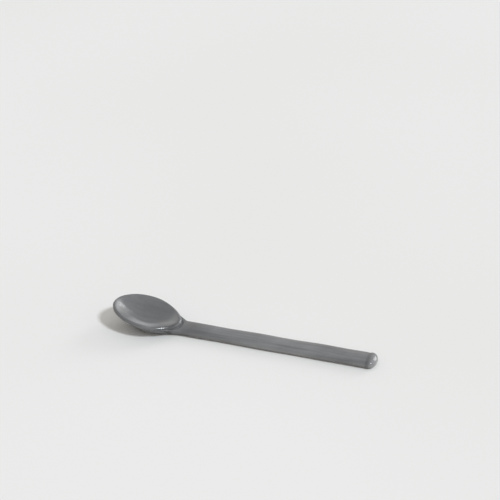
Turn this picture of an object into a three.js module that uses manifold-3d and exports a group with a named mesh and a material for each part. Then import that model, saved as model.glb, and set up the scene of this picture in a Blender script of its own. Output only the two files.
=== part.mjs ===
// Ceramic teaspoon: a shallow oval bowl luted to a flat handle, under one coat of glaze.
// Millimetres, +Z up. The spoon lies on its dry foot at z = 0 with the handle towards +X,
// and the origin is under the middle of its length.
import * as THREE from 'three';
import { mergeVertices } from 'three/addons/utils/BufferGeometryUtils.js';
import Module from 'manifold-3d';

// Driving dimensions: overall
const spoonLength = 140;

// Driving dimensions: bowl, measured over the glaze
const bowlLength = 36.4;
const bowlWidth = 28.3;
const neckTaper = 0.2;
const rimHeightTip = 11.9;
const rimHeightNeck = 5.5;
const lipRoll = 1.3;
const lipEdge = 0.4;
const lipTurn = THREE.MathUtils.degToRad(78);
const dishFloorHeight = 3.6;
const dishSetback = 3;
const outerLeanTip = THREE.MathUtils.degToRad(40);
const outerLeanNeck = THREE.MathUtils.degToRad(22);
const innerWallSlope = THREE.MathUtils.degToRad(34);

// Driving dimensions: the flat foot under the bowl
const footLength = 18;
const footWidth = 11.6;
const footSetback = 7.4;

// Driving dimensions: neck and handle, measured over the glaze
const neckHalfAngle = THREE.MathUtils.degToRad(60);
const neckTurn = THREE.MathUtils.degToRad(10);
const neckLength = 2.2;
const neckFlare = 6;
const neckWidth = 10.4;
const handleWidth = 11;
const endWidth = 11.2;
const handleThickness = 4.3;
const undersideTrim = 0.3;
const endPlanRound = 4.2;
const endEdgeRound = 1.7;

// Driving dimensions: glaze coat and dry foot
const glazeThickness = 0.25;
const glazeClearance = 0.1;
const dryFootHeight = 0.6;

// Driving dimensions: the luted joint, a slip layer keyed into scored faces
const jointSetback = 1;
const slipThickness = 0.6;
const scoreDepth = 0.4;
const scoreWidth = 0.6;
const scorePitch = 1.6;

// Shape ratios: how full the curves are, and how square the handle's section is
const outerWallFullness = [0.38, 0.3];
const innerWallFullness = [0.6, 0.45];
const sectionPower = 2.6;
const topCorner = THREE.MathUtils.degToRad(38);
const underCorner = THREE.MathUtils.degToRad(60);

// Mesh steps
const neckSteps = 8;
const roundSteps = 40;
const wallSteps = 6;
const lipRowsInNeck = 2;
const neckRows = wallSteps + lipRowsInNeck;
const dishSteps = 5;
const flareSteps = 6;
const runSteps = 8;
const endSteps = 4;

// Places along the spoon
const tipX = -spoonLength / 2;
const endX = spoonLength / 2;
const bowlX = tipX + bowlLength / 2;
const neckX = bowlX + bowlLength / 2 + neckLength;
const footX = bowlX + footSetback;

const up = new THREE.Vector3(0, 0, 1);
const forward = new THREE.Vector3(1, 0, 0);

// Angles round the bowl: the neck's sector first, in even steps, then the rest
function bowlAngles() {
  const angles = [];
  for (let i = 0; i <= neckSteps; i++) {
    angles.push(THREE.MathUtils.lerp(-neckHalfAngle, neckHalfAngle, i / neckSteps));
  }
  const restSteps = roundSteps - neckSteps;
  for (let i = 1; i < restSteps; i++) {
    angles.push(THREE.MathUtils.lerp(neckHalfAngle, 2 * Math.PI - neckHalfAngle, i / restSteps));
  }
  return angles;
}

// The rim: an oval that slopes down from the tip and narrows towards the neck, with the wall steepening too
function rimPoint(angle) {
  const cos = Math.cos(angle);
  const sin = Math.sin(angle);
  const halfLength = bowlLength / 2;
  const halfWidth = bowlWidth / 2;
  const along = halfLength * cos;
  const nearNeck = Math.max(cos, 0);
  const breadth = halfWidth * (1 - neckTaper * nearNeck ** 2);
  const narrowing = 2 * halfWidth * neckTaper * nearNeck * sin ** 2;
  const share = (along + halfLength) / bowlLength;
  const height = THREE.MathUtils.lerp(rimHeightTip, rimHeightNeck, share);
  return {
    edge: new THREE.Vector3(bowlX + along, breadth * sin, height),
    outward: new THREE.Vector3(breadth * cos + narrowing, halfLength * sin, 0).normalize(),
    lean: THREE.MathUtils.lerp(outerLeanTip, outerLeanNeck, share),
  };
}

// One section of the bowl from the foot's edge, up the wall, over the lip and into the dish
function bowlSection(angle) {
  const { edge, outward, lean } = rimPoint(angle);
  const lowest = lean - Math.PI / 2;
  const last = Math.PI / 2 + innerWallSlope;
  const facing = (turn) => outward.clone().multiplyScalar(Math.cos(turn)).addScaledVector(up, Math.sin(turn));
  const along = (turn) => outward.clone().multiplyScalar(-Math.sin(turn)).addScaledVector(up, Math.cos(turn));

  // The lip: a full roll outside that passes into a tight inner edge
  const crestInset = lipRoll - (lipRoll - lipEdge) * Math.cos(lipTurn);
  const edgeCentre = edge.clone().addScaledVector(outward, -crestInset).addScaledVector(up, -lipEdge);
  const rollCentre = edgeCentre.clone().addScaledVector(facing(lipTurn), lipEdge - lipRoll);
  const arc = (centre, radius) => (turn) => centre.clone().addScaledVector(facing(turn), radius);
  const rollTurns = [lowest, (lowest + neckTurn) / 2, neckTurn, (neckTurn + lipTurn) / 2, lipTurn];
  const edgeTurns = [(lipTurn + last) / 2, last];
  const lip = [
    ...rollTurns.map(arc(rollCentre, lipRoll)),
    ...edgeTurns.map(arc(edgeCentre, lipEdge)),
  ];

  const foot = new THREE.Vector3(
    footX + (footLength / 2) * Math.cos(angle),
    (footWidth / 2) * Math.sin(angle),
    0,
  );
  const rise = lip[0].clone().sub(foot);
  const spread = rise.clone().setZ(0).normalize();
  const wall = new THREE.CubicBezierCurve3(
    foot,
    foot.clone().addScaledVector(spread, outerWallFullness[0] * rise.length()),
    lip[0].clone().addScaledVector(along(lowest), -outerWallFullness[1] * rise.length()),
    lip[0],
  ).getPoints(wallSteps);

  const inside = lip[lip.length - 1];
  const drop = dishCentre().sub(inside);
  const steep = (innerWallFullness[0] * -drop.z) / Math.sin(innerWallSlope);
  const dish = new THREE.CubicBezierCurve3(
    inside,
    inside.clone().addScaledVector(along(last), steep),
    dishCentre().addScaledVector(drop.clone().setZ(0), -innerWallFullness[1]),
    dishCentre(),
  ).getPoints(dishSteps);
  return [...wall, ...lip.slice(1), ...dish.slice(1, -1)];
}

function dishCentre() {
  return new THREE.Vector3(bowlX + dishSetback, 0, dishFloorHeight);
}

// Angles round the handle's section, in the order of the neck's loop: top, far side, underside, near side
function sectionAngles() {
  const spans = [
    [Math.PI - topCorner, topCorner, neckSteps],
    [topCorner, -underCorner, neckRows],
    [-underCorner, underCorner - Math.PI, neckSteps],
    [underCorner - Math.PI, -Math.PI - topCorner, neckRows],
  ];
  return spans.flatMap(([from, to, steps]) => (
    Array.from({ length: steps }, (_, i) => THREE.MathUtils.lerp(from, to, i / steps))
  ));
}

function squared(value) {
  return Math.sign(value) * Math.abs(value) ** (2 / sectionPower);
}

// The handle's section at x, drawn in by the end's rounding and trimmed flat underneath.
// Its width follows a parabola through the widths at the neck, the middle and the end.
function handleSection(x, widthInset = 0, heightInset = 0) {
  const run = (x - neckX) / (endX - neckX);
  const width = neckWidth * (1 - run) * (1 - 2 * run)
    + handleWidth * 4 * run * (1 - run)
    + endWidth * run * (2 * run - 1);
  const halfHeight = (handleThickness + undersideTrim) / 2;
  return sectionAngles().map((angle) => {
    const y = (width / 2 - widthInset) * squared(Math.cos(angle));
    const z = halfHeight + (halfHeight - heightInset) * squared(Math.sin(angle)) - undersideTrim;
    return new THREE.Vector3(x, y, Math.max(z, 0));
  });
}

// The spoon's whole outside as one closed skin
function spoonSkin() {
  const points = [];
  const triangles = [];
  const add = (point) => points.push(point) - 1;
  const quad = (a, b, c, d) => triangles.push([a, b, c], [a, c, d]);

  const footCentre = add(new THREE.Vector3(footX, 0, 0));
  const dishPole = add(dishCentre());
  const columns = bowlAngles().map((angle) => bowlSection(angle).map(add));
  const rows = columns[0].length;
  columns.forEach((column, j) => {
    const next = columns[(j + 1) % columns.length];
    triangles.push([footCentre, next[0], column[0]], [dishPole, column[rows - 1], next[rows - 1]]);
    for (let i = 0; i < rows - 1; i++) {
      const insideNeck = j < neckSteps && i < neckRows;
      if (!insideNeck) {
        quad(column[i], next[i], next[i + 1], column[i + 1]);
      }
    }
  });

  // The loop where the neck leaves the wall, with the direction in which the wall runs into it
  const loop = [];
  const at = (j, i) => points[columns[j][i]];
  const towards = (from, to) => to.clone().sub(from).normalize();
  const join = (j, i, ...directions) => {
    const sum = directions.reduce((total, d) => total.add(d), new THREE.Vector3());
    loop.push({ index: columns[j][i], direction: sum.normalize() });
  };
  const down = (j) => towards(at(j, neckRows), at(j, neckRows - 1));
  const far = neckSteps;
  join(0, neckRows, down(0), towards(at(0, neckRows), at(1, neckRows)));
  for (let j = 1; j < far; j++) {
    join(j, neckRows, down(j));
  }
  join(far, neckRows, down(far), towards(at(far, neckRows), at(far - 1, neckRows)));
  for (let i = neckRows - 1; i > 0; i--) {
    join(far, i, towards(at(far, i), at(far - 1, i)));
  }
  for (let j = far; j >= 0; j--) {
    join(j, 0, forward);
  }
  for (let i = 1; i < neckRows; i++) {
    join(0, i, towards(at(0, i), at(1, i)));
  }

  // Rings of the neck's flare, the handle's run and its rounded end
  const rings = [];
  const firstSection = handleSection(neckX);
  for (let step = 1; step <= flareSteps; step++) {
    const t = step / flareSteps;
    rings.push(loop.map(({ index, direction }, m) => hermite(points[index], direction, firstSection[m], t)));
  }
  const roundX = endX - endPlanRound;
  for (let step = 1; step <= runSteps; step++) {
    rings.push(handleSection(THREE.MathUtils.lerp(neckX, roundX, step / runSteps)));
  }
  for (let step = 1; step <= endSteps; step++) {
    const turn = (step / endSteps) * (Math.PI / 2);
    const draw = 1 - Math.cos(turn);
    const x = roundX + endPlanRound * Math.sin(turn);
    rings.push(handleSection(x, endPlanRound * draw, endEdgeRound * draw));
  }

  let previous = loop.map(({ index }) => index);
  rings.forEach((ring) => {
    const current = ring.map(add);
    current.forEach((index, m) => {
      const next = (m + 1) % current.length;
      quad(previous[next], previous[m], index, current[next]);
    });
    previous = current;
  });
  const endPole = add(new THREE.Vector3(endX, 0, handleThickness / 2));
  previous.forEach((index, m) => {
    triangles.push([previous[(m + 1) % previous.length], index, endPole]);
  });

  const geometry = new THREE.BufferGeometry().setFromPoints(points);
  geometry.setIndex(triangles.flat());
  geometry.computeVertexNormals();
  return geometry;
}

function hermite(from, direction, to, t) {
  const square = t * t;
  const cube = square * t;
  return from.clone().multiplyScalar(2 * cube - 3 * square + 1)
    .addScaledVector(direction, neckFlare * (cube - 2 * square + t))
    .addScaledVector(to, 3 * square - 2 * cube)
    .addScaledVector(forward, neckFlare * (cube - square));
}

// The skin moved inwards along its normals
function insetSkin(skin, depth) {
  const position = skin.getAttribute('position');
  const normal = skin.getAttribute('normal');
  const moved = [];
  for (let i = 0; i < position.count; i++) {
    const point = new THREE.Vector3().fromBufferAttribute(position, i);
    moved.push(point.addScaledVector(new THREE.Vector3().fromBufferAttribute(normal, i), -depth));
  }
  return new THREE.BufferGeometry().setFromPoints(moved).setIndex(skin.getIndex());
}

// Solids for joining and cutting
const wasm = await Module();
wasm.setup();

function solidOf(geometry) {
  const bare = geometry.clone();
  bare.deleteAttribute('normal');
  bare.deleteAttribute('uv');
  const merged = mergeVertices(bare);
  return new wasm.Manifold(new wasm.Mesh({
    numProp: 3,
    vertProperties: new Float32Array(merged.getAttribute('position').array),
    triVerts: new Uint32Array(merged.getIndex().array),
  }));
}

function boxBetween(low, high) {
  const size = high.map((value, i) => value - low[i]);
  const middle = high.map((value, i) => (value + low[i]) / 2);
  return solidOf(new THREE.BoxGeometry(...size).translate(...middle));
}

function geometryOf(solid) {
  const mesh = solid.getMesh();
  const geometry = new THREE.BufferGeometry();
  geometry.setAttribute('position', new THREE.BufferAttribute(mesh.vertProperties, mesh.numProp));
  geometry.setIndex(new THREE.BufferAttribute(mesh.triVerts, 1));
  geometry.computeVertexNormals();
  return geometry;
}

// Reach of the cutting boxes past the spoon
const reachX = spoonLength;
const reachY = bowlWidth;
const reachZ = rimHeightTip + rimHeightNeck;

const skin = spoonSkin();
const outside = solidOf(skin);
const belowDryLine = boxBetween([-reachX, -reachY, -reachZ], [reachX, reachY, dryFootHeight]);

// The glaze: a thin shell that stops at the dry line
const underGlaze = solidOf(insetSkin(skin, glazeThickness));
const glaze = outside.subtract(underGlaze).subtract(belowDryLine);

// The clay: what lies under the glaze, with the bare foot below the dry line
const core = solidOf(insetSkin(skin, glazeThickness + glazeClearance));
const clay = core.add(outside.intersect(belowDryLine));

// The joint: a slip layer across the neck with ridges that fill the score marks on both faces
const slipStart = neckX + jointSetback;
const slipEnd = slipStart + slipThickness;

function scoreMarks(fromX, toX, shift) {
  const marks = [];
  const count = Math.floor((neckWidth - scoreWidth) / scorePitch);
  for (let i = 0; i < count; i++) {
    const y = (i - (count - 1) / 2) * scorePitch + shift;
    marks.push(boxBetween([fromX, y - scoreWidth / 2, -reachZ], [toX, y + scoreWidth / 2, reachZ]));
  }
  return marks.reduce((all, mark) => all.add(mark));
}

const bowlScores = scoreMarks(slipStart - scoreDepth, slipEnd, -scorePitch / 4);
const handleScores = scoreMarks(slipStart, slipEnd + scoreDepth, scorePitch / 4);
const layer = boxBetween([slipStart, -reachY, -reachZ], [slipEnd, reachY, reachZ]);
const slipSpace = layer.add(bowlScores).add(handleScores);
const bowlSide = boxBetween([-reachX, -reachY, -reachZ], [slipStart, reachY, reachZ]);
const handleSide = boxBetween([slipEnd, -reachY, -reachZ], [reachX, reachY, reachZ]);

const bowl = clay.intersect(bowlSide).subtract(slipSpace);
const handle = clay.intersect(handleSide).subtract(slipSpace);
const slip = clay.intersect(slipSpace);

// Finishes
const bareClay = new THREE.MeshStandardMaterial({ color: 0xa39b90, roughness: 0.9, metalness: 0 });
const driedSlip = new THREE.MeshStandardMaterial({ color: 0x989188, roughness: 0.9, metalness: 0 });
const greyGlaze = new THREE.MeshStandardMaterial({ color: 0x74767b, roughness: 0.25, metalness: 0 });

function piece(name, solid, material) {
  const mesh = new THREE.Mesh(geometryOf(solid), material);
  mesh.name = name;
  return mesh;
}

const spoon = new THREE.Group();
spoon.add(
  piece('bowl', bowl, bareClay),
  piece('handle', handle, bareClay),
  piece('slip_joint', slip, driedSlip),
  piece('glaze_coat', glaze, greyGlaze),
);

export default spoon;
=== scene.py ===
"""A hand-made ceramic teaspoon under a grey glaze, lying on a pale table."""
import math

import bmesh
import bpy
import numpy as np
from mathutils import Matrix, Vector, noise


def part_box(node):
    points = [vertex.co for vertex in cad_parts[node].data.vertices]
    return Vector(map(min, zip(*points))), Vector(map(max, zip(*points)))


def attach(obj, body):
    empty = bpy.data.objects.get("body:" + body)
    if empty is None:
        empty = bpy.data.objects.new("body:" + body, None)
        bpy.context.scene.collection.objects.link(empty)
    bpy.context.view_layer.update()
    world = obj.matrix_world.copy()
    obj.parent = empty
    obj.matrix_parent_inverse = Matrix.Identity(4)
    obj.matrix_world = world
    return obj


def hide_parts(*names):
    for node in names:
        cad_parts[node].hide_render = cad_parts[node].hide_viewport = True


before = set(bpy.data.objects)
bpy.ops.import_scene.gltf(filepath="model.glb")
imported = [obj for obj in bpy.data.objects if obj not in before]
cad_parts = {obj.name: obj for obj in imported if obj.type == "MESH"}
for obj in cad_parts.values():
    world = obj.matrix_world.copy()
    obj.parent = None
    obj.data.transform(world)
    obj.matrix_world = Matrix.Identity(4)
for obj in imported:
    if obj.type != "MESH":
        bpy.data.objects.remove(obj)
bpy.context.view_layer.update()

MM = 0.001

# Sizes read from the frame
glaze_low, glaze_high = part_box("glaze_coat")
END_X = glaze_high[0]
TIP_X = -END_X
DRY_LINE = glaze_low[2]

# Sizes repeated from the part's source, measured over the glaze
BOWL_LENGTH = 36.4 * MM
BOWL_WIDTH = 28.3 * MM
NECK_TAPER = 0.2
RIM_HEIGHT_TIP = 11.9 * MM
RIM_HEIGHT_NECK = 5.5 * MM
LIP_ROLL = 1.3 * MM
LIP_EDGE = 0.4 * MM
LIP_TURN = math.radians(78)
DISH_FLOOR_HEIGHT = 3.6 * MM
DISH_SETBACK = 3 * MM
OUTER_LEAN_TIP = math.radians(40)
OUTER_LEAN_NECK = math.radians(22)
INNER_WALL_SLOPE = math.radians(34)
FOOT_LENGTH = 18 * MM
FOOT_WIDTH = 11.6 * MM
FOOT_SETBACK = 7.4 * MM
NECK_HALF_ANGLE = math.radians(60)
NECK_TURN = math.radians(10)
NECK_LENGTH = 2.2 * MM
NECK_FLARE = 6 * MM
NECK_WIDTH = 10.4 * MM
HANDLE_WIDTH = 11 * MM
END_WIDTH = 11.2 * MM
HANDLE_THICKNESS = 4.3 * MM
UNDERSIDE_TRIM = 0.3 * MM
END_PLAN_ROUND = 4.2 * MM
END_EDGE_ROUND = 1.7 * MM
GLAZE_THICKNESS = 0.25 * MM
OUTER_WALL_FULLNESS = (0.38, 0.3)
INNER_WALL_FULLNESS = (0.6, 0.45)
SECTION_POWER = 2.6
TOP_CORNER = math.radians(38)
UNDER_CORNER = math.radians(60)

# Mesh steps
NECK_STEPS = 32
ROUND_STEPS = 160
WALL_STEPS = 20
LIP_UNDER_STEPS = 6
LIP_CREST_STEPS = 10
LIP_INSIDE_STEPS = 8
DISH_STEPS = 24
FLARE_STEPS = 20
RUN_STEPS = 240
END_STEPS = 14
NECK_ROWS = WALL_STEPS + LIP_UNDER_STEPS

# Places along the spoon
BOWL_X = TIP_X + BOWL_LENGTH / 2
NECK_X = BOWL_X + BOWL_LENGTH / 2 + NECK_LENGTH
FOOT_X = BOWL_X + FOOT_SETBACK
DISH_CENTRE = np.array([BOWL_X + DISH_SETBACK, 0, DISH_FLOOR_HEIGHT])

UP = np.array([0.0, 0.0, 1.0])
FORWARD = np.array([1.0, 0.0, 0.0])


def unit(vectors):
    return vectors / np.linalg.norm(vectors, axis=-1, keepdims=True)


def level(vectors):
    """The same vectors without their rise."""
    return vectors * np.array([1, 1, 0])


def bezier(start, leave, arrive, end, steps):
    """Rows of points on one cubic curve for each column."""
    t = np.linspace(0, 1, steps + 1)[:, None, None]
    left = 1 - t
    return left ** 3 * start + 3 * left ** 2 * t * leave + 3 * left * t ** 2 * arrive + t ** 3 * end


def bowl_angles():
    """Angles round the bowl: the neck's sector first, then the rest."""
    neck = np.linspace(-NECK_HALF_ANGLE, NECK_HALF_ANGLE, NECK_STEPS + 1)
    rest = np.linspace(NECK_HALF_ANGLE, 2 * math.pi - NECK_HALF_ANGLE, ROUND_STEPS - NECK_STEPS + 1)
    return np.concatenate([neck, rest[1:-1]])


def rim_breadth(cos):
    """Half the bowl's width round an angle, less towards the neck."""
    return BOWL_WIDTH / 2 * (1 - NECK_TAPER * np.maximum(cos, 0) ** 2)


def from_tip_to_neck(tip, neck, cos):
    """A value that changes evenly along the bowl."""
    share = (cos + 1) / 2
    return tip + (neck - tip) * share


def bowl_rows():
    """Rows of points from the foot's edge, up the wall, over the lip and into the dish."""
    angle = bowl_angles()
    cos, sin = np.cos(angle), np.sin(angle)
    half_length = BOWL_LENGTH / 2
    breadth = rim_breadth(cos)
    narrowing = BOWL_WIDTH * NECK_TAPER * np.maximum(cos, 0) * sin ** 2
    height = from_tip_to_neck(RIM_HEIGHT_TIP, RIM_HEIGHT_NECK, cos)
    edge = np.stack([BOWL_X + half_length * cos, breadth * sin, height], axis=1)
    outward = unit(np.stack([breadth * cos + narrowing, half_length * sin, 0 * cos], axis=1))

    # The lip: a full roll outside that passes into a tight inner edge
    def facing(turn):
        return np.cos(turn) * outward + np.sin(turn) * UP

    lowest = (from_tip_to_neck(OUTER_LEAN_TIP, OUTER_LEAN_NECK, cos) - math.pi / 2)[:, None]
    last = math.pi / 2 + INNER_WALL_SLOPE
    crest_inset = LIP_ROLL - (LIP_ROLL - LIP_EDGE) * math.cos(LIP_TURN)
    edge_centre = edge - crest_inset * outward - LIP_EDGE * UP
    roll_centre = edge_centre - (LIP_ROLL - LIP_EDGE) * facing(LIP_TURN)
    roll_turns = np.concatenate([
        np.linspace(lowest, NECK_TURN, LIP_UNDER_STEPS, endpoint=False),
        np.linspace(NECK_TURN + 0 * lowest, LIP_TURN, LIP_CREST_STEPS + 1),
    ])
    edge_turns = np.linspace(LIP_TURN, last, LIP_INSIDE_STEPS + 1)[1:, None, None]
    lip = np.concatenate([
        roll_centre + LIP_ROLL * facing(roll_turns),
        edge_centre + LIP_EDGE * facing(edge_turns),
    ])

    foot = np.stack([FOOT_X + FOOT_LENGTH / 2 * cos, FOOT_WIDTH / 2 * sin, 0 * cos], axis=1)
    rise = lip[0] - foot
    reach = np.linalg.norm(rise, axis=1, keepdims=True)
    climb = np.cos(lowest) * UP - np.sin(lowest) * outward
    wall = bezier(
        foot,
        foot + OUTER_WALL_FULLNESS[0] * reach * unit(level(rise)),
        lip[0] - OUTER_WALL_FULLNESS[1] * reach * climb,
        lip[0],
        WALL_STEPS,
    )

    drop = DISH_CENTRE - lip[-1]
    steep = INNER_WALL_FULLNESS[0] * -drop[:, 2:] / math.sin(INNER_WALL_SLOPE)
    fall = math.cos(last) * UP - math.sin(last) * outward
    dish = bezier(
        lip[-1],
        lip[-1] + steep * fall,
        DISH_CENTRE - INNER_WALL_FULLNESS[1] * level(drop),
        DISH_CENTRE + 0 * drop,
        DISH_STEPS,
    )
    return np.concatenate([wall, lip[1:], dish[1:-1]])


def section_angles():
    """Angles round the handle's section, in the order of the neck's loop."""
    spans = [
        (math.pi - TOP_CORNER, TOP_CORNER, NECK_STEPS),
        (TOP_CORNER, -UNDER_CORNER, NECK_ROWS),
        (-UNDER_CORNER, UNDER_CORNER - math.pi, NECK_STEPS),
        (UNDER_CORNER - math.pi, -math.pi - TOP_CORNER, NECK_ROWS),
    ]
    return np.concatenate([np.linspace(start, end, steps, endpoint=False) for start, end, steps in spans])


def squared(value):
    return np.sign(value) * np.abs(value) ** (2 / SECTION_POWER)


def handle_section(x, width_inset=0.0, height_inset=0.0):
    """The handle's section at x, drawn in by the end's rounding and flat underneath."""
    run = (x - NECK_X) / (END_X - NECK_X)
    width = (
        NECK_WIDTH * (1 - run) * (1 - 2 * run)
        + HANDLE_WIDTH * 4 * run * (1 - run)
        + END_WIDTH * run * (2 * run - 1)
    )
    half_height = (HANDLE_THICKNESS + UNDERSIDE_TRIM) / 2
    angle = section_angles()
    y = (width / 2 - width_inset) * squared(np.cos(angle))
    z = half_height + (half_height - height_inset) * squared(np.sin(angle)) - UNDERSIDE_TRIM
    return np.stack([np.full_like(y, x), y, np.maximum(z, 0)], axis=1)


def neck_loop(rows):
    """(row, column) of each point where the neck leaves the bowl, and the wall's direction there."""
    def way(start, end):
        return unit(rows[end] - rows[start])

    places, ways = [], []
    last = NECK_STEPS
    for column in range(last + 1):
        here = (NECK_ROWS, column)
        direction = way(here, (NECK_ROWS - 1, column))
        if column == 0:
            direction = direction + way(here, (NECK_ROWS, 1))
        if column == last:
            direction = direction + way(here, (NECK_ROWS, last - 1))
        places.append(here)
        ways.append(direction)
    for row in range(NECK_ROWS - 1, 0, -1):
        places.append((row, last))
        ways.append(way((row, last), (row, last - 1)))
    for column in range(last, -1, -1):
        places.append((0, column))
        ways.append(FORWARD)
    for row in range(1, NECK_ROWS):
        places.append((row, 0))
        ways.append(way((row, 0), (row, 1)))
    return places, unit(np.array(ways))


def handle_rings(start, ways):
    """Rings of the neck's flare, the handle's run and its rounded end."""
    rings = []
    first = handle_section(NECK_X)
    for t in np.linspace(0, 1, FLARE_STEPS + 1)[1:]:
        rings.append(
            (2 * t ** 3 - 3 * t ** 2 + 1) * start
            + NECK_FLARE * (t ** 3 - 2 * t ** 2 + t) * ways
            + (3 * t ** 2 - 2 * t ** 3) * first
            + NECK_FLARE * (t ** 3 - t ** 2) * FORWARD
        )
    round_x = END_X - END_PLAN_ROUND
    for x in np.linspace(NECK_X, round_x, RUN_STEPS + 1)[1:]:
        rings.append(handle_section(x))
    for turn in np.linspace(0, math.pi / 2, END_STEPS + 1)[1:]:
        draw = 1 - math.cos(turn)
        x = round_x + END_PLAN_ROUND * math.sin(turn)
        rings.append(handle_section(x, END_PLAN_ROUND * draw, END_EDGE_ROUND * draw))
    return rings


def spoon_skin():
    """The spoon's whole outside as one closed skin: points and faces."""
    rows = bowl_rows()
    row_count, columns = rows.shape[:2]
    index = np.arange(row_count * columns).reshape(row_count, columns)
    points = [*rows.reshape(-1, 3), np.array([FOOT_X, 0, 0]), DISH_CENTRE]
    foot_pole, dish_pole = len(points) - 2, len(points) - 1

    faces = []
    for column in range(columns):
        after = (column + 1) % columns
        faces.append((foot_pole, index[0, after], index[0, column]))
        faces.append((dish_pole, index[-1, column], index[-1, after]))
        for row in range(row_count - 1):
            in_neck = column < NECK_STEPS and row < NECK_ROWS
            if not in_neck:
                lower = (index[row, column], index[row, after])
                upper = (index[row + 1, after], index[row + 1, column])
                faces.append(lower + upper)

    places, ways = neck_loop(rows)
    start = np.array([rows[place] for place in places])
    previous = np.array([index[place] for place in places])
    for ring in handle_rings(start, ways):
        current = len(points) + np.arange(len(ring))
        points.extend(ring)
        for m in range(len(ring)):
            after = (m + 1) % len(ring)
            faces.append((previous[after], previous[m], current[m], current[after]))
        previous = current
    end_pole = len(points)
    points.append(np.array([END_X, 0, HANDLE_THICKNESS / 2]))
    for m in range(len(previous)):
        faces.append((previous[(m + 1) % len(previous)], previous[m], end_pole))
    return points, faces


# How far hand work and the glaze's flow leave the surface uneven
SWELL_HEIGHT = 0.28 * MM
SWELL_SPAN = 19 * MM
STREAK_HEIGHT = 0.07 * MM
STREAK_LENGTH = 30 * MM
STREAK_SPAN = 2.6 * MM
DEEPEST_HOLLOW = 0.18 * MM
FLAT_BELOW = 1.4 * MM

# The handle's end: a ring pressed in, and the glaze gathered into a bead beyond it
RING_FROM_END = 4.6 * MM
RING_SPAN = 0.7 * MM
RING_DEPTH = 0.18 * MM
BEAD_FROM_END = 2.6 * MM
BEAD_SPAN = 1.6 * MM
BEAD_HEIGHT = 0.3 * MM

# The near side of the neck: glaze gathered into a bead along the lip's edge
SEAM_HEIGHT = 0.3 * MM
SEAM_SPAN = 0.6 * MM
SEAM_TURN = math.radians(25)
SEAM_MIDDLE = math.radians(-42)
SEAM_REACH = math.radians(24)


def bell(distance, span):
    return math.exp(-((distance / span) ** 2))


def seam_bead(point):
    """Height of the bead along the lip's edge by the neck."""
    angle = math.atan2(point.y / BOWL_WIDTH, (point.x - BOWL_X) / BOWL_LENGTH)
    cos, sin = math.cos(angle), math.sin(angle)
    rim_height = from_tip_to_neck(RIM_HEIGHT_TIP, RIM_HEIGHT_NECK, cos)
    edge = Vector((
        BOWL_X + BOWL_LENGTH / 2 * cos,
        rim_breadth(cos) * sin,
        rim_height - LIP_ROLL * (1 - math.sin(SEAM_TURN)),
    ))
    along = bell(angle - SEAM_MIDDLE, SEAM_REACH)
    return SEAM_HEIGHT * along * bell((point - edge).length, SEAM_SPAN)


def unevenness(point):
    """How far the hand-made surface stands proud of the drawn one at a point."""
    swell = noise.noise(point / SWELL_SPAN)
    streak = noise.noise(Vector((point.x / STREAK_LENGTH, point.y / STREAK_SPAN, point.z / STREAK_SPAN)))
    from_end = END_X - point.x
    bead = BEAD_HEIGHT * bell(from_end - BEAD_FROM_END, BEAD_SPAN)
    ring = RING_DEPTH * bell(from_end - RING_FROM_END, RING_SPAN)
    rise = min(max(point.z / FLAT_BELOW, 0), 1)
    hand_work = SWELL_HEIGHT * swell + STREAK_HEIGHT * streak
    return rise * max(hand_work + bead + seam_bead(point) - ring, -DEEPEST_HOLLOW)


def glaze_coat():
    """The glaze as a thin shell that stops at the dry line."""
    points, faces = spoon_skin()
    mesh = bpy.data.meshes.new("glaze")
    mesh.from_pydata([tuple(point) for point in points], [], [tuple(map(int, face)) for face in faces])
    shell = bmesh.new()
    shell.from_mesh(mesh)
    shell.normal_update()
    for vertex in shell.verts:
        vertex.co += unevenness(vertex.co) * vertex.normal
    everything = shell.verts[:] + shell.edges[:] + shell.faces[:]
    bmesh.ops.bisect_plane(shell, geom=everything, plane_co=(0, 0, DRY_LINE), plane_no=UP, clear_inner=True)
    shell.to_mesh(mesh)
    shell.free()
    mesh.shade_smooth()

    coat = bpy.data.objects.new("glaze", mesh)
    bpy.context.collection.objects.link(coat)
    thickness = coat.modifiers.new("thickness", "SOLIDIFY")
    thickness.thickness = GLAZE_THICKNESS
    thickness.offset = -1
    return coat


# Where the dish's wall is pale, painted light and sheen partly from run-off glaze: away from this shift of
# the bowl's middle
THIN_AND_LIT_SHIFT_X = -2 * MM
THIN_AND_LIT_SHIFT_Y = 7 * MM

# Where the painted shade and the dull gloss in the groove by the neck begin and are full: along from the
# bowl's middle, and across
SEAM_START = 5 * MM
SEAM_FULL = 12 * MM
SEAM_FAR_Y = 2 * MM
SEAM_NEAR_Y = -4 * MM

# Height below which the bowl's glaze carries painted shade above the foot
FOOT_SHADE_HEIGHT = 2 * MM

# Length of the handle's end with painted shade in the pressed ring and painted light beyond it
END_SHADE_AND_LIGHT_LENGTH = 7 * MM

# Colours, dark and light
CLOUD_COLOURS = ((0.158, 0.161, 0.171), (0.196, 0.199, 0.208))
# Colours of the pale wall: painted light and sheen, partly thin glaze
THIN_AND_LIT_COLOURS = ((0.245, 0.247, 0.256), (0.285, 0.287, 0.294))
CLAY_COLOURS = ((0.26, 0.235, 0.21), (0.37, 0.34, 0.31))
SLIP_COLOURS = ((0.23, 0.21, 0.19), (0.31, 0.285, 0.26))
TABLE_COLOURS = ((0.79, 0.79, 0.785), (0.81, 0.81, 0.81))

# Tints that multiply a colour
SPECK_TINT = (0.55, 0.52, 0.5)
# Painted light: a lighter, warmer tint for the handle's upright sides
SIDE_LIGHT_TINT = (1.17, 1.15, 1.11)
GROG_TINT = (0.35, 0.32, 0.3)

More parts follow.
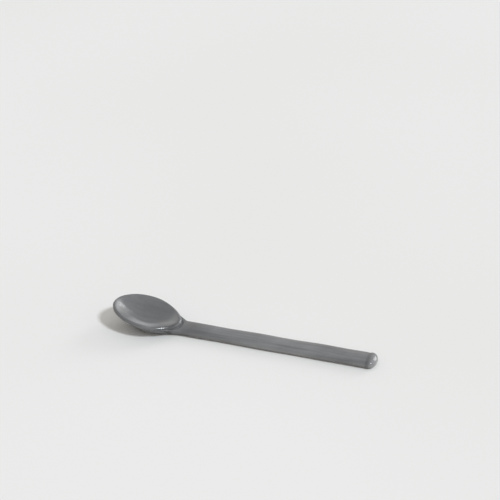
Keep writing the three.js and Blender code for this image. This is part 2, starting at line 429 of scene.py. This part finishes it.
# Factors on the glaze's colour: from the tip to the neck on the pale wall, painted light and sheen partly
# from run-off glaze; and out from the bowl's middle, painted shade partly from gathered glaze
RUN_OFF_AND_LIGHT_TONES = [
    (0.1, 1), (0.18, 0.72), (0.28, 0.72), (0.36, 1.1),
    (0.48, 1.4), (0.6, 1.25), (0.72, 0.88), (1, 0.82),
]
# Painted shade: darker in the dish, round the lip and on the handle by the neck, partly from gathered glaze
SHADE_AND_FLOW_TONES = [
    (0, 0.77), (0.3, 0.81), (0.46, 0.93), (0.485, 0.86),
    (0.525, 0.82), (0.68, 0.71), (0.88, 0.87), (1, 1.05),
]

# Factors on its colour: painted shade in the groove by the neck, and along the handle's end painted shade
# in the pressed ring with painted light beyond it
GROOVE_SHADE_TONES = [(0.42, 1), (0.44, 0.4), (0.468, 0.46), (0.496, 1)]
END_SHADE_AND_LIGHT_TONES = [(0, 1), (0.25, 0.9), (0.36, 0.7), (0.5, 0.8), (0.65, 1.12), (1, 1.35)]

# Factors on its roughness by the neck: dull in the groove, glossy on the bead
DULL_TONES = [(0.415, 1), (0.435, 2), (0.456, 2), (0.466, 0.5), (0.5, 0.5), (0.56, 1)]

STREAK_STRETCH = (30, 520, 520)
SPECK_SHARE = 0.6
GROG_SHARE = 0.8
GLAZE_ROUGHNESS = (0.18, 0.27)
GLAZE_IOR = 1.5
CLAY_ROUGHNESS = 0.88
TABLE_ROUGHNESS = 0.7
TABLE_SPECULAR = 0.2


# Materials
def new_material(name):
    material = bpy.data.materials.new(name)
    material.use_nodes = True
    return material, material.node_tree, material.node_tree.nodes["Principled BSDF"]


def grey(value):
    return (value, value, value)


def grain(tree, scale, stretch=(1, 1, 1), detail=3.0):
    """Noise in the spoon's own coordinates, from 0 to 1."""
    place = tree.nodes.new("ShaderNodeTexCoord")
    mapping = tree.nodes.new("ShaderNodeMapping")
    mapping.inputs["Scale"].default_value = stretch
    texture = tree.nodes.new("ShaderNodeTexNoise")
    texture.inputs["Scale"].default_value = scale
    texture.inputs["Detail"].default_value = detail
    tree.links.new(place.outputs["Object"], mapping.inputs["Vector"])
    tree.links.new(mapping.outputs["Vector"], texture.inputs["Vector"])
    return texture.outputs["Fac"]


def ramp(tree, factor, stops):
    """Colours at places along a factor."""
    node = tree.nodes.new("ShaderNodeValToRGB")
    elements = node.color_ramp.elements
    for element, (place, colour) in zip([elements[0], elements[1]], [stops[0], stops[-1]]):
        element.position = place
        element.color = (*colour, 1)
    for place, colour in stops[1:-1]:
        elements.new(place).color = (*colour, 1)
    tree.links.new(factor, node.inputs["Fac"])
    return node.outputs["Color"]


def grey_ramp(tree, factor, stops):
    """Greys at places along a factor."""
    return ramp(tree, factor, [(place, grey(value)) for place, value in stops])


def mottled(tree, factor, dark, light):
    """Dark to light over the middle range of a noise."""
    return ramp(tree, factor, [(0.3, dark), (0.7, light)])


def feed(tree, socket, value):
    """A fixed number, a fixed colour or another socket into a socket."""
    if isinstance(value, (int, float)):
        socket.default_value = value
    elif isinstance(value, tuple):
        socket.default_value = (*value, 1)
    else:
        tree.links.new(value, socket)


def blend(tree, kind, factor, first, second):
    """Two colours mixed or multiplied, each of them and the factor fixed or from a socket."""
    node = tree.nodes.new("ShaderNodeMix")
    node.data_type = "RGBA"
    node.blend_type = kind
    feed(tree, node.inputs["Factor"], factor)
    feed(tree, node.inputs["A"], first)
    feed(tree, node.inputs["B"], second)
    return node.outputs["Result"]


def times(tree, first, second, share=1.0):
    """One colour multiplied by another, wholly or by a share."""
    return blend(tree, "MULTIPLY", share, first, second)


def bump(tree, shader, height, distance, strength):
    node = tree.nodes.new("ShaderNodeBump")
    node.inputs["Distance"].default_value = distance
    node.inputs["Strength"].default_value = strength
    tree.links.new(height, node.inputs["Height"])
    tree.links.new(node.outputs["Normal"], shader.inputs["Normal"])


def bowl_distance(tree, shift_x=0.0, shift_y=0.0):
    """Distance from the bowl's middle, or from a place shifted from it, as a share of the bowl's size."""
    place = tree.nodes.new("ShaderNodeTexCoord")
    mapping = tree.nodes.new("ShaderNodeMapping")
    mapping.inputs["Location"].default_value = (-(BOWL_X + shift_x) / BOWL_LENGTH, -shift_y / BOWL_WIDTH, 0)
    mapping.inputs["Scale"].default_value = (1 / BOWL_LENGTH, 1 / BOWL_WIDTH, 0)
    length = tree.nodes.new("ShaderNodeVectorMath")
    length.operation = "LENGTH"
    tree.links.new(place.outputs["Object"], mapping.inputs["Vector"])
    tree.links.new(mapping.outputs["Vector"], length.inputs[0])
    return length.outputs["Value"]


def upward(tree):
    """How far the surface faces up: 1 is level, 0 is upright."""
    geometry = tree.nodes.new("ShaderNodeNewGeometry")
    parts = tree.nodes.new("ShaderNodeSeparateXYZ")
    tree.links.new(geometry.outputs["Normal"], parts.inputs["Vector"])
    return parts.outputs["Z"]


def span_along(tree, axis, start, end):
    """From 0 at one place along an axis of the spoon to 1 at another."""
    place = tree.nodes.new("ShaderNodeTexCoord")
    parts = tree.nodes.new("ShaderNodeSeparateXYZ")
    span = tree.nodes.new("ShaderNodeMapRange")
    span.inputs["From Min"].default_value = start
    span.inputs["From Max"].default_value = end
    tree.links.new(place.outputs["Object"], parts.inputs["Vector"])
    tree.links.new(parts.outputs[axis], span.inputs["Value"])
    return span.outputs["Result"]


def thin_and_lit_wall(tree):
    """The pale wall, painted light and sheen partly from run-off glaze: 1 on the dish's wall by the tip and
    the near side, 0 elsewhere.
    """
    wall = grey_ramp(tree, bowl_distance(tree, THIN_AND_LIT_SHIFT_X, THIN_AND_LIT_SHIFT_Y), [(0.36, 0), (0.46, 1)])
    inside = grey_ramp(tree, bowl_distance(tree), [(0.43, 1), (0.465, 0)])
    top = grey_ramp(tree, upward(tree), [(0.1, 0), (0.35, 1)])
    return times(tree, times(tree, wall, inside), top)


def by_neck(tree, stops):
    """Greys by the distance from the bowl's middle on the neck's near side, and 1 elsewhere."""
    forward = span_along(tree, "X", BOWL_X + SEAM_START, BOWL_X + SEAM_FULL)
    near_side = span_along(tree, "Y", SEAM_FAR_Y, SEAM_NEAR_Y)
    tones = grey_ramp(tree, bowl_distance(tree), stops)
    return blend(tree, "MIX", times(tree, forward, near_side), grey(1), tones)


def glaze_colour(tree):
    """Blue-grey, streaked along the handle; pale on the dish's wall, painted light and sheen partly from
    run-off glaze; painted light on the handle's sides and end; painted shade in the dish, by the neck, in
    the end's ring and above the foot, partly from gathered glaze.
    """
    mottle = grain(tree, scale=90, detail=4)
    on_handle = span_along(tree, "X", NECK_X, NECK_X + NECK_FLARE)
    on_bowl = span_along(tree, "X", NECK_X + NECK_FLARE, NECK_X)

    streaks = grey_ramp(tree, grain(tree, scale=1, stretch=STREAK_STRETCH), [(0.34, 0.8), (0.66, 1.08)])
    streaky = grey_ramp(tree, on_handle, [(0, 0.35), (1, 1)])
    colour = times(tree, mottled(tree, mottle, *CLOUD_COLOURS), streaks, streaky)
    # Painted shade in the dish, round the lip and by the neck, partly from gathered glaze
    colour = times(tree, colour, grey_ramp(tree, bowl_distance(tree), SHADE_AND_FLOW_TONES))

    # Painted light and sheen on the dish's pale wall, partly run-off glaze
    run_off_and_light = grey_ramp(tree, span_along(tree, "X", TIP_X, TIP_X + BOWL_LENGTH), RUN_OFF_AND_LIGHT_TONES)
    pale = times(tree, mottled(tree, mottle, *THIN_AND_LIT_COLOURS), run_off_and_light)
    colour = blend(tree, "MIX", thin_and_lit_wall(tree), colour, pale)
    # Painted shade in the groove by the neck
    colour = times(tree, colour, by_neck(tree, GROOVE_SHADE_TONES))

    # Painted light: the handle's upright sides lighter and warmer
    side_light = ramp(tree, upward(tree), [(0.1, SIDE_LIGHT_TINT), (0.6, grey(1))])
    colour = times(tree, colour, side_light, on_handle)
    # Painted shade in the end's pressed ring, painted light on the end beyond it
    end_shade_and_light = grey_ramp(tree, span_along(tree, "X", END_X - END_SHADE_AND_LIGHT_LENGTH, END_X), END_SHADE_AND_LIGHT_TONES)
    colour = times(tree, colour, end_shade_and_light)
    # Painted shade: the bowl's glaze darker low down above the foot
    foot_shade = grey_ramp(tree, span_along(tree, "Z", DRY_LINE, FOOT_SHADE_HEIGHT), [(0, 0.45), (1, 1)])
    colour = times(tree, colour, foot_shade, on_bowl)

    specks = ramp(tree, grain(tree, scale=1900, detail=1), [(0.24, SPECK_TINT), (0.33, grey(1))])
    return times(tree, colour, specks, SPECK_SHARE)


def grey_glaze():
    """Satin glaze with a fine ripple."""
    material, tree, shader = new_material("grey_glaze")
    tree.links.new(glaze_colour(tree), shader.inputs["Base Color"])
    smooth, rough = GLAZE_ROUGHNESS
    gloss = mottled(tree, grain(tree, scale=260, detail=2), grey(smooth), grey(rough))
    tree.links.new(times(tree, gloss, by_neck(tree, DULL_TONES)), shader.inputs["Roughness"])
    shader.inputs["IOR"].default_value = GLAZE_IOR
    bump(tree, shader, grain(tree, scale=420, detail=2), distance=0.12 * MM, strength=0.25)
    return material


def bare_clay(name, dark, light):
    """Matte fired stoneware with grog specks."""
    material, tree, shader = new_material(name)
    body = mottled(tree, grain(tree, scale=240, detail=5), dark, light)
    specks = ramp(tree, grain(tree, scale=1500, detail=1), [(0.27, GROG_TINT), (0.36, grey(1))])
    tree.links.new(times(tree, body, specks, GROG_SHARE), shader.inputs["Base Color"])
    shader.inputs["Roughness"].default_value = CLAY_ROUGHNESS
    bump(tree, shader, grain(tree, scale=1700), distance=0.2 * MM, strength=0.4)
    return material


def table_top():
    """Pale matte table."""
    material, tree, shader = new_material("table_top")
    dark, light = TABLE_COLOURS
    tone = ramp(tree, grain(tree, scale=3, detail=1), [(0.35, dark), (0.65, light)])
    tree.links.new(tone, shader.inputs["Base Color"])
    shader.inputs["Roughness"].default_value = TABLE_ROUGHNESS
    shader.inputs["Specular IOR Level"].default_value = TABLE_SPECULAR
    return material


def dress(node_name, material):
    """A procedural material on a CAD node."""
    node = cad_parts[node_name]
    for slot in node.material_slots:
        slot.material = material


# The drawn glaze takes the CAD coat's place, and the clay keeps its CAD solids
glaze = glaze_coat()
glaze.data.materials.append(grey_glaze())
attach(glaze, "root")
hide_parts("glaze_coat")

clay = bare_clay("bare_clay", *CLAY_COLOURS)
dress("bowl", clay)
dress("handle", clay)
dress("slip_joint", bare_clay("joining_slip", *SLIP_COLOURS))

# Table
TABLE_SIZE = 4.0
bpy.ops.mesh.primitive_plane_add(size=TABLE_SIZE)
table = bpy.context.object
table.name = "table"
table.data.materials.append(table_top())

# Camera at the photograph's viewing angle
VIEW_AZIMUTH = math.radians(17.75)
VIEW_ELEVATION = math.radians(30)
VIEW_DISTANCE = 986.6 * MM
VIEW_TARGET = Vector((-25.2 * MM, 89.9 * MM, 0))
FIELD_OF_VIEW = math.radians(16)


def direction(azimuth, elevation):
    """From the spoon towards an azimuth right of -Y and an elevation above the table."""
    return Vector((
        math.sin(azimuth) * math.cos(elevation),
        -math.cos(azimuth) * math.cos(elevation),
        math.sin(elevation),
    ))


def aim(thing, towards):
    thing.rotation_euler = towards.to_track_quat("Z", "Y").to_euler()


camera = bpy.data.objects.new("camera", bpy.data.cameras.new("camera"))
bpy.context.collection.objects.link(camera)
back = direction(VIEW_AZIMUTH, VIEW_ELEVATION)
camera.location = VIEW_TARGET + VIEW_DISTANCE * back
aim(camera, back)
camera.data.sensor_fit = "HORIZONTAL"
camera.data.angle = FIELD_OF_VIEW
bpy.context.scene.camera = camera


def soft_light(name, azimuth, elevation, spread, strength, colour):
    """Even light from far off, its angles in degrees; the spread softens the shadow."""
    light = bpy.data.lights.new(name, "SUN")
    light.angle = math.radians(spread)
    light.energy = strength
    light.color = colour
    lamp = bpy.data.objects.new(name, light)
    bpy.context.collection.objects.link(lamp)
    aim(lamp, direction(math.radians(azimuth), math.radians(elevation)))


# The key from the right, and a low window behind the handle's end
KEY_COLOUR = (0.9, 0.955, 1)
WINDOW_AZIMUTH = 150
soft_light("key", azimuth=73, elevation=48, spread=10, strength=1.84, colour=KEY_COLOUR)
soft_light("window", azimuth=WINDOW_AZIMUTH, elevation=20, spread=22, strength=0.6, colour=grey(1))

# Studio round it: brightest low down on the window's side, darker overhead and opposite
STUDIO_STRENGTH = 0.85
STUDIO_LOW = (1, 0.97, 0.92)
STUDIO_OVERHEAD = (0.6, 0.582, 0.552)
OPPOSITE_SHARE = 0.8

world = bpy.data.worlds.new("studio")
bpy.context.scene.world = world
world.use_nodes = True
sky = world.node_tree
place = sky.nodes.new("ShaderNodeTexCoord")
axes = sky.nodes.new("ShaderNodeSeparateXYZ")
window = sky.nodes.new("ShaderNodeVectorMath")
window.operation = "DOT_PRODUCT"
window.inputs[1].default_value = direction(math.radians(WINDOW_AZIMUTH), 0)
facing_window = sky.nodes.new("ShaderNodeMapRange")
facing_window.inputs["From Min"].default_value = -1
sky.links.new(place.outputs["Generated"], axes.inputs["Vector"])
sky.links.new(place.outputs["Generated"], window.inputs[0])
sky.links.new(window.outputs["Value"], facing_window.inputs["Value"])
heights = ramp(sky, axes.outputs["Z"], [(0, STUDIO_LOW), (1, STUDIO_OVERHEAD)])
sides = grey_ramp(sky, facing_window.outputs["Result"], [(0, OPPOSITE_SHARE), (1, 1)])
sky.links.new(times(sky, heights, sides), sky.nodes["Background"].inputs["Color"])
sky.nodes["Background"].inputs["Strength"].default_value = STUDIO_STRENGTH

bpy.context.scene.view_settings.view_transform = "Standard"
